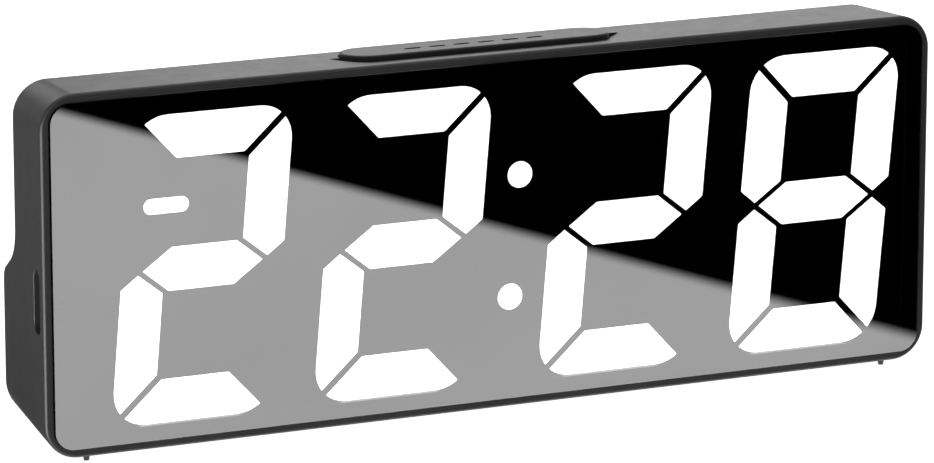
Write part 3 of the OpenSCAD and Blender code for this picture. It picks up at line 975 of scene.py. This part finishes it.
    def inlet(self) -> list[bmesh.types.BMesh]:
        """The upright slot in the left wall, with a flared mouth, and the room behind it.

        Returns:
            The solids to cut away.
        """
        (y, z), (wide, length), flare = self.inlet_at, self.inlet_size, self.inlet_flare
        clear = 0.4
        face_x = -(self.width / 2 - self.side_draft * (y - self.rim_y))
        stack = [
            (face_x - clear, flare + clear),
            (face_x, flare),
            (face_x + flare * 0.4, flare * 0.45),
            (face_x + flare, 0.0),
            (face_x + self.inlet_reach, 0.0),
        ]
        bm = bmesh.new()
        outline = rounded(wide, length, wide / 2 - HAIR)
        bmesh.ops.create_grid(bm, x_segments=len(outline), y_segments=len(stack) - 1, size=1)
        for v in bm.verts:
            i = round((v.co.x + 1) / 2 * len(outline)) % len(outline)
            x, grow = stack[round((v.co.y + 1) / 2 * (len(stack) - 1))]
            py, pz = outline[i]
            share = (wide / 2 + grow) / (wide / 2)
            centre = math.copysign(length / 2 - wide / 2, pz)
            v.co = at(x, y + py * share, z + centre + (pz - centre) * share)
        bmesh.ops.remove_doubles(bm, verts=bm.verts[:], dist=MERGE_DISTANCE)
        bmesh.ops.holes_fill(bm, edges=[e for e in bm.edges if e.is_boundary])
        return [closed(bm)]

    def build(self) -> None:
        """Makes the shell, cuts it, dresses it and puts it in the housing's place."""
        piece = new_object(self.skin(), "shell")
        carve(piece, self.tray(), "UNION")
        carve(piece, self.openings(), "DIFFERENCE")
        shade(piece)
        self.install(piece, Body.CASE, Finish.SHELL, "shell", ["housing"])
        self.wardrobe.add(piece, Finish.RIM)
        # Painted shade: the third finish, matt black, darkens the recess behind the lens.
        self.wardrobe.add(piece, Finish.BLACK)
        for face in piece.data.polygons:
            face.material_index = self.zone(face)

    def zone(self, face: bpy.types.MeshPolygon) -> int:
        """Tells which of the shell's finishes a face wears.

        Args:
            face: The face.

        Returns:
            0 for the satin outside, 1 for the flat front of the rim, 2 for the recess behind the lens, made
            near black as painted shade.
        """
        depth = face.center.y / MM + HALF_DEPTH
        outward = face.normal.x * face.center.x + face.normal.z * (face.center.z - MID_Z * MM)
        behind_rim, lip_end, flat_end, behind_ledge = 0.02, 0.09, 0.05, 0.1
        wall = face.normal.y > -FACING and outward < 0
        facing = face.normal.y < -FACING
        if wall and self.rim_y + behind_rim < depth < self.rim_y + lip_end:
            return 1
        # Painted shade: the pocket walls and ledge behind the lens go near black.
        if self.rim_y + behind_rim < depth < self.ledge[0] + behind_ledge and (wall or facing):
            return 2
        return 1 if depth < self.rim_y + flat_end and facing else 0


# ---- Lens and display ----


@dataclass
class Display(Assembly):
    """The half-mirrored lens and the lit digits behind it."""

    lens: tuple[float, float, float, float] = (157.0, 57.3, 3.4, 1.5)
    centres: tuple[float, ...] = (-52.0, -16.7, 23.7, 59.0)
    centre_z: float = MID_Z - 0.6
    half_w: float = 14.0
    half_h: float = 25.6
    stroke: float = 7.3
    corner: float = 6.0
    gap: float = 1.15
    slant: float = 0.0855
    front: float = 1.8
    depth: float = 3.2
    dots: tuple[Point, ...] = ((4.33, 9.7), (2.56, -11.0))
    dot_r: float = 2.23
    indicator_at: Point = (-58.2, MID_Z + 10.0)
    surround: tuple[float, float, float] = (8.36, 4.96, 0.58)
    surround_step: float = 0.1
    pill: tuple[float, float, float] = (7.8, 2.6, 1.28)
    pill_depth: float = 0.3
    shown: str = "2228"
    lit: dict[str, str] = field(default_factory=lambda: {"2": "abged", "8": "abcdefg"})

    def segments(self) -> dict[str, list[Point]]:
        """Upright outlines of the seven segments, about the digit's centre.

        Returns:
            The outline of each, a to g.
        """
        hw, hz = self.half_w - self.stroke, self.half_h - self.stroke
        shift = self.gap / math.sqrt(2)
        skew = math.asin(self.gap / 2 / self.corner)
        cx, cz, r = self.half_w - self.corner, self.half_h - self.corner, self.corner

        def arc(sign: int, a0: float, a1: float) -> list[Point]:
            """Points round one outer corner.

            Args:
                sign: 1 for the right corner, -1 for the left.
                a0: Starting angle.
                a1: Ending angle.

            Returns:
                The points in order.
            """
            steps = 10
            angles = [a0 + (a1 - a0) * i / steps for i in range(steps + 1)]
            return [(sign * cx + r * math.cos(a), cz + r * math.sin(a)) for a in angles]

        top = [(-hw + shift, hz), (hw - shift, hz)]
        top += arc(1, math.pi / 4 + skew, math.pi / 2) + arc(-1, math.pi / 2, 3 * math.pi / 4 - skew)
        side = [(hw, hz - shift)] + arc(1, math.pi / 4 - skew, 0.0)
        bar, notch = self.stroke / 2, 0.3
        side_end, side_tip = 2.8, (11.2, 0.57)
        tip, shoulder = 10.4, hw - 1.05
        side += [(self.half_w, side_end), side_tip, (hw, bar + notch)]
        middle = [(-tip, 0.0), (-shoulder, bar), (shoulder, bar)]
        middle += [(tip, 0.0), (shoulder, -bar), (-shoulder, -bar)]

        def turned(points: list[Point], sx: int, sz: int) -> list[Point]:
            """Mirrors an outline.

            Args:
                points: The outline.
                sx: -1 to mirror it sideways, else 1.
                sz: -1 to mirror it up and down, else 1.

            Returns:
                The mirrored outline.
            """
            return [(sx * x, sz * z) for x, z in points]

        return {
            "a": top, "b": side, "c": turned(side, 1, -1), "d": turned(top, 1, -1),
            "e": turned(side, -1, -1), "f": turned(side, -1, 1), "g": middle,
        }

    def digit(self, place: int) -> None:
        """Makes one digit: its lit segments, and its dark ones as a second piece.

        Args:
            place: 0 to 3 from the left.
        """
        on = self.lit[self.shown[place]]
        node = f"digit_{place + 1}_lights"
        groups: dict[bool, list[bmesh.types.BMesh]] = {True: [], False: []}
        for name, outline in self.segments().items():
            if place == 0 and name == "f":
                continue
            leaning = [(self.centres[place] + x + self.slant * z, self.centre_z + z) for x, z in outline]
            groups[name in on].append(slab(leaning, self.front, self.front + self.depth))
        for is_lit, solids in groups.items():
            if not solids:
                continue
            piece = self.joined(solids, f"digit_{place + 1}_{'lit' if is_lit else 'dark'}")
            finish = Finish.LIT if is_lit else Finish.BLACK
            self.install(piece, Body.CASE, finish, "segment_light", [node] if is_lit else [])

    @staticmethod
    def joined(solids: Sequence[bmesh.types.BMesh], name: str) -> bpy.types.Object:
        """Puts separate solids into one softened piece.

        Args:
            solids: The solids, freed here.
            name: The piece's name.

        Returns:
            The piece.
        """
        whole = bmesh.new()
        for solid in solids:
            spare = bpy.data.meshes.new("spare")
            soften(solid, 0.08, 1).to_mesh(spare)
            solid.free()
            whole.from_mesh(spare)
            bpy.data.meshes.remove(spare)
        piece = new_object(whole, name)
        shade(piece)
        return piece

    def build(self) -> None:
        """Makes the lens, the digits, the colon and the indicator."""
        w, h, r, t = self.lens
        lens = new_object(soften(slab(rounded(w, h, r, 0, MID_Z, 16), 0.0, t), 0.12, 2), "lens")
        shade(lens)
        self.install(lens, Body.CASE, Finish.LENS, "lens", ["mirror_lens"])
        self.wardrobe.add(lens, Finish.LENS_CLEAR)
        for face in lens.data.polygons:
            face.material_index = 0 if face.normal.y < -FACING else 1
        for place in range(4):
            self.digit(place)
        dots = []
        for x, up in self.dots:
            z = self.centre_z + up
            dots.append(rod(at(x, self.front, z), at(x, self.front + self.depth, z), self.dot_r, 48))
        colon = self.joined(dots, "colon_dots")
        self.install(colon, Body.CASE, Finish.LIT, "segment_light", ["colon_lights"])
        outline = rounded(*self.surround, *self.indicator_at, 8)
        rear = slab(outline, self.front + self.surround_step, self.front + self.depth)
        surround = self.joined([rear], "indicator_surround")
        self.install(surround, Body.CASE, Finish.BLACK, "segment_light", ["indicator_light"])
        outline = rounded(*self.pill, *self.indicator_at, 12)
        pill = self.joined([slab(outline, self.front, self.front + self.pill_depth)], "indicator")
        self.install(pill, Body.CASE, Finish.LIT, "segment_light", [])


# ---- Moving parts ----


@dataclass
class SnoozeBar(Assembly):
    """The press bar on top, with a row of plain engraved marks."""

    length: float = 48.0
    width: float = 9.6
    centre_y: float = 10.4
    top_at_rim: float = MID_Z + 60.3 / 2 + 0.7
    draft: float = 0.054
    marks: int = 6
    mark_pitch: float = 4.4

    def build(self) -> None:
        """Makes the bar with its flange, stem and legs, and engraves it."""
        flange_z, blank_z, cap_z = 58.0, 64.0, 0.06
        rim_y, overlap = 0.5, 58.1
        ends = rounded(self.length, self.width, self.width / 2 - HAIR, steps=20)
        bm = rise([(x, y + self.centre_y) for x, y in ends], flange_z, blank_z)
        for v in bm.verts:
            if v.co.z > cap_z:
                depth = v.co.y / MM + HALF_DEPTH
                v.co.z = (self.top_at_rim - self.draft * (depth - rim_y)) * MM
        soften(bm, 0.35, 4)
        piece = new_object(bm, "snooze_bar_cap")
        flange = [(x, min(y + self.centre_y, 15.6)) for x, y in rounded(self.length + 3, self.width + 1, 5.2)]
        carve(piece, [
            rise(flange, flange_z, 58.6),
            block((-2, 2), (8.2, 11.2), (56.2, overlap)),
            block((-19, -17), (9.4, 13.4), (54.0, overlap)),
            block((17, 19), (9.4, 13.4), (54.0, overlap)),
        ], "UNION")
        cuts = []
        for i in range(self.marks):
            x = -0.7 + (i - (self.marks - 1) / 2) * self.mark_pitch
            pill = [(px, py + 9.4) for px, py in rounded(3.0, 1.1, 0.54, x, 0, 6)]
            cuts.append(rise(pill, self.top_at_rim - 0.78, 66.0))
        carve(piece, cuts, "DIFFERENCE")
        shade(piece)
        self.install(piece, Body.SNOOZE, Finish.KEY, "key", ["snooze_bar"])


@dataclass
class SetKeys(Assembly):
    """The four keys on the upper back."""

    pitch: float = 16.0
    height: float = 45.0
    rear: float = 18.4
    foot: float = 14.6
    flange: Point = (15.3, 16.1)
    dish_r: float = 14.0
    dish_rise: float = 13.78

    def build(self) -> None:
        """Makes each key with a flange and a dished face."""
        for i, body in enumerate((Body.KEY_1, Body.KEY_2, Body.KEY_3, Body.KEY_4)):
            x = self.pitch * (i - 1.5)
            stem = slab(rounded(9, 5, 1, x, self.height), self.foot, self.rear)
            cap = new_object(soften(stem, 0.3, 3), f"set_key_{i + 1}")
            flange = slab(rounded(11, 7, 1.2, x, self.height), *self.flange)
            carve(cap, [flange], "UNION")
            dish = bmesh.new()
            bmesh.ops.create_uvsphere(dish, u_segments=48, v_segments=32, radius=self.dish_r * MM)
            bmesh.ops.translate(dish, verts=dish.verts[:], vec=at(x, self.rear + self.dish_rise, self.height))
            carve(cap, [dish], "DIFFERENCE")
            shade(cap)
            self.install(cap, body, Finish.KEY, "key", [f"set_button_{i + 1}"])


@dataclass
class BatteryDoor(Assembly):
    """The door in the lower back, with a latch tongue and grip ridges."""

    length: float = 94.0
    height: float = 19.0
    base: float = 6.4
    rear: float = 25.5
    thick: float = 1.6
    grip_pitch: float = 1.4

    def build(self) -> None:
        """Makes the door plate, its lugs, its latch cuts and its grip."""
        mid = self.base + self.height / 2
        plate = slab(rounded(self.length, self.height, 1.0, 0, mid), self.rear - self.thick, self.rear)
        piece = new_object(soften(plate, 0.2, 3), "door")
        lugs = []
        lug_y, inner = self.rear - 2.5, self.rear - self.thick
        for x in (-30.0, 30.0):
            across = (x - 4, x + 4)
            lugs.append(block(across, (lug_y, inner + 0.05), (self.base + 0.3, self.base + 2)))
            lugs.append(block(across, (lug_y, self.rear - 1.7), (self.base - 1.2, self.base + 1)))
        carve(piece, lugs, "UNION")
        crown, past = self.base + self.height, 26.5
        cuts = [block((s * 7 - 0.5, s * 7 + 0.5), (20.5, past), (crown - 6, crown + 1)) for s in (-1, 1)]
        for i in range(3):
            ridge = (crown - 5 + self.grip_pitch * i, crown - 4.3 + self.grip_pitch * i)
            cuts.append(block((-4, 4), (self.rear - 0.4, past), ridge))
        carve(piece, cuts, "DIFFERENCE")
        shade(piece)
        self.install(piece, Body.DOOR, Finish.SHELL, "shell", ["battery_door"])


# ---- Parts kept from the CAD frame ----


@dataclass
class Innards(Assembly):
    """The feet and everything inside, carried over with finishes of their own."""

    finishes: tuple[tuple[str, Finish], ...] = (
        ("lens_tape", Finish.TAPE),
        ("light_box", Finish.BLACK),
        ("display_board", Finish.BOARD),
        ("segment_leds", Finish.PHOSPHOR),
        ("clock_chip", Finish.EPOXY),
        ("driver_chips", Finish.EPOXY),
        ("crystal", Finish.STEEL),
        ("capacitors", Finish.SLEEVE),
        ("resistors", Finish.EPOXY),
        ("buzzer", Finish.EPOXY),
        ("power_socket", Finish.STEEL),
        ("socket_tongue", Finish.EPOXY),
        ("snooze_switch", Finish.EPOXY),
        ("snooze_plunger", Finish.NYLON),
        ("set_switch", Finish.EPOXY),
        ("set_plunger", Finish.NYLON),
        ("battery_cell", Finish.CELL),
        ("battery_springs", Finish.STEEL),
        ("battery_plates", Finish.STEEL),
        ("battery_leads", Finish.WIRE),
        ("board_screws", Finish.DARK_STEEL),
        ("front_foot", Finish.SHELL),
        ("rear_foot", Finish.RUBBER),
    )

    def build(self, nodes: dict[str, bpy.types.Object]) -> None:
        """Dresses each CAD node that no new piece stands for.

        Args:
            nodes: The frame's nodes by name.
        """
        for name, node in nodes.items():
            for start, finish in self.finishes:
                if name.startswith(start):
                    self.wardrobe.dress(node, finish)
                    LOG.info("%s: %s", name, finish.value.name)


# ---- Studio ----


@dataclass
class Studio:
    """Camera, pale floor, soft lights, and the cards that the mirror sees."""

    place: tuple[float, float, float] = (-0.37187, -0.84121, 0.25770)
    pitch: float = 0.2444
    yaw: float = 0.4158
    lens: float = 218.36
    world_level: float = 0.3
    top_power: float = 9.0
    floor_glow: float = 1.0
    floor_level: float = 1.62
    card_fade: float = 0.0081
    card_slope: float = 0.3357
    card_x: float = 0.0942
    flag_glow: float = 0.17
    wedge_glow: float = 7.2
    wall_glow: float = 1.53
    corner_glow: float = 2.1
    dark_z: float = 0.0006
    flag_z: float = 0.0005
    wedge_z: float = 0.0008
    wall_y: float = 1.2

    def camera(self) -> None:
        """Sets up the camera."""
        data = bpy.data.cameras.new("camera")
        data.lens, data.sensor_width, data.sensor_fit = self.lens, 36.0, "HORIZONTAL"
        data.clip_start, data.clip_end = 0.05, 20.0
        camera = bpy.data.objects.new("camera", data)
        camera.location = self.place
        camera.rotation_euler = (math.pi / 2 - self.pitch, 0.0, -self.yaw)
        bpy.context.scene.collection.objects.link(camera)
        bpy.context.scene.camera = camera

    def sheet(self, name: str, corners: Sequence[tuple[float, float]], z: float) -> bpy.types.Object:
        """A flat level sheet.

        Args:
            name: Its name.
            corners: Its corners in order, in metres.
            z: Its height.

        Returns:
            The sheet.
        """
        bm = bmesh.new()
        bm.faces.new([bm.verts.new(Vector((x, y, z))) for x, y in corners])
        piece = new_object(bm, name)
        return piece

    def floor(self) -> None:
        """Lays the pale floor."""
        floor = self.sheet("floor", ((-6, -6), (6, -6), (6, 6), (-6, 6)), 0.0)
        n = Nodes("pale_floor")
        n.tint(n.noise(3, 2), (0.93, 0.93, 0.93), (0.95, 0.95, 0.95))
        n.shader.inputs["Specular IOR Level"].default_value = 0.0
        n.shader.inputs["Emission Color"].default_value = WHITE
        n.shader.inputs["Emission Strength"].default_value = self.floor_glow
        n.link(n.spread(n.noise(20, 3), 0.8, 0.9), n.shader.inputs["Roughness"])
        floor.data.materials.append(n.material)

    def fade(self, card: bpy.types.Object) -> None:
        """Lets the dark card's slanting edge fade in from the floor's own brightness.

        Args:
            card: The card.
        """
        tree = card.data.materials[0].node_tree
        shader = next(n for n in tree.nodes if n.type == "BSDF_PRINCIPLED")
        coords = tree.nodes.new("ShaderNodeTexCoord")
        across = tree.nodes.new("ShaderNodeVectorMath")
        across.operation = "DOT_PRODUCT"
        across.inputs[1].default_value = (1.0, -self.card_slope, 0.0)
        ramp = tree.nodes.new("ShaderNodeMapRange")
        ramp.interpolation_type = "SMOOTHSTEP"
        half = self.card_fade / 2
        ends = {
            "From Min": self.card_x - half,
            "From Max": self.card_x + half,
            "To Min": self.floor_level,
            "To Max": 0.0,
        }
        for key, number in ends.items():
            ramp.inputs[key].default_value = number
        tree.links.new(coords.outputs["Object"], across.inputs[0])
        tree.links.new(across.outputs["Value"], ramp.inputs["Value"])
        tree.links.new(ramp.outputs["Result"], shader.inputs["Emission Strength"])

    def card(self, name: str, points: Sequence[tuple[float, float, float]], glow: float) -> bpy.types.Object:
        """Sets up a card that only reflections see.

        Args:
            name: Its name.
            points: Its corners in order.
            glow: Its brightness; 0 is black.

        Returns:
            The card.
        """
        bm = bmesh.new()
        bm.faces.new([bm.verts.new(Vector(p)) for p in points])
        card = new_object(bm, name)
        n = Nodes(name)
        n.shader.inputs["Base Color"].default_value = (0.0, 0.0, 0.0, 1.0)
        n.shader.inputs["Specular IOR Level"].default_value = 0.0
        n.shader.inputs["Emission Color"].default_value = WHITE
        n.shader.inputs["Emission Strength"].default_value = glow
        card.data.materials.append(n.material)
        card.visible_camera = card.visible_diffuse = card.visible_shadow = card.visible_transmission = False
        return card

    def cards(self) -> None:
        """Sets up the reflections: a dark floor ahead on the right, flags, and a bright wall behind."""
        ahead = ((-0.0795, -0.0132), (2.0, -0.0132), (2.0, -1.6), (-0.0795, -1.6))
        dark = self.card("floor_ahead", [(x, y, self.dark_z) for x, y in ahead], 0.0)
        self.fade(dark)
        flag = ((-0.076, -0.0115), (-0.076, 2.4), (-1.2, 2.4), (-1.2, 0.2))
        self.card("left_flag", [(x, y, self.flag_z) for x, y in flag], self.flag_glow)
        wedge = ((-0.083, -0.0135), (-0.68, -0.005), (-0.45, -0.62))
        self.card("front_left_glow", [(x, y, self.wedge_z) for x, y in wedge], self.wedge_glow)
        wall = ((0.345, 0.1), (2.2, 0.1), (2.2, 1.1), (0.345, 1.1))
        self.card("back_wall", [(x, self.wall_y, z) for x, z in wall], self.wall_glow)
        corner = ((-0.45, 0.46), (0.15, 0.46), (0.15, 1.1), (-0.45, 1.1))
        self.card("corner_glow", [(x, self.wall_y, z) for x, z in corner], self.corner_glow)

    def lights(self) -> None:
        """Hangs one large soft light overhead and sets the world's level."""
        data = bpy.data.lights.new("softbox", "AREA")
        data.shape, data.size, data.size_y, data.energy = "RECTANGLE", 1.6, 1.6, self.top_power
        light = bpy.data.objects.new("softbox", data)
        light.location = (0.0, 0.25, 1.5)
        light.rotation_euler = (math.radians(-8), 0.0, 0.0)
        bpy.context.scene.collection.objects.link(light)
        world = bpy.data.worlds.new("studio")
        world.use_nodes = True
        back = world.node_tree.nodes["Background"]
        back.inputs["Color"].default_value = WHITE
        back.inputs["Strength"].default_value = self.world_level
        bpy.context.scene.world = world

    def build(self) -> None:
        """Sets up the whole studio."""
        bpy.context.scene.view_settings.view_transform = "Standard"
        self.camera()
        self.floor()
        self.cards()
        self.lights()


def corners(box: tuple[Vector, Vector]) -> list[list[float]]:
    """Turns a box's two corners into plain lists.

    Args:
        box: The lowest and the highest corner.

    Returns:
        Both corners.
    """
    return [list(box[0]), list(box[1])]


def main() -> None:
    """Builds the studio and every sub-assembly, in order."""
    logging.basicConfig(level=logging.INFO, format="%(message)s")
    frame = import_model()
    Studio().build()
    wardrobe = Wardrobe()
    Shell(wardrobe).build()
    Display(wardrobe).build()
    SnoozeBar(wardrobe).build()
    SetKeys(wardrobe).build()
    BatteryDoor(wardrobe).build()
    Innards(wardrobe).build(frame["nodes"])


if __name__ == "__main__":
    main()
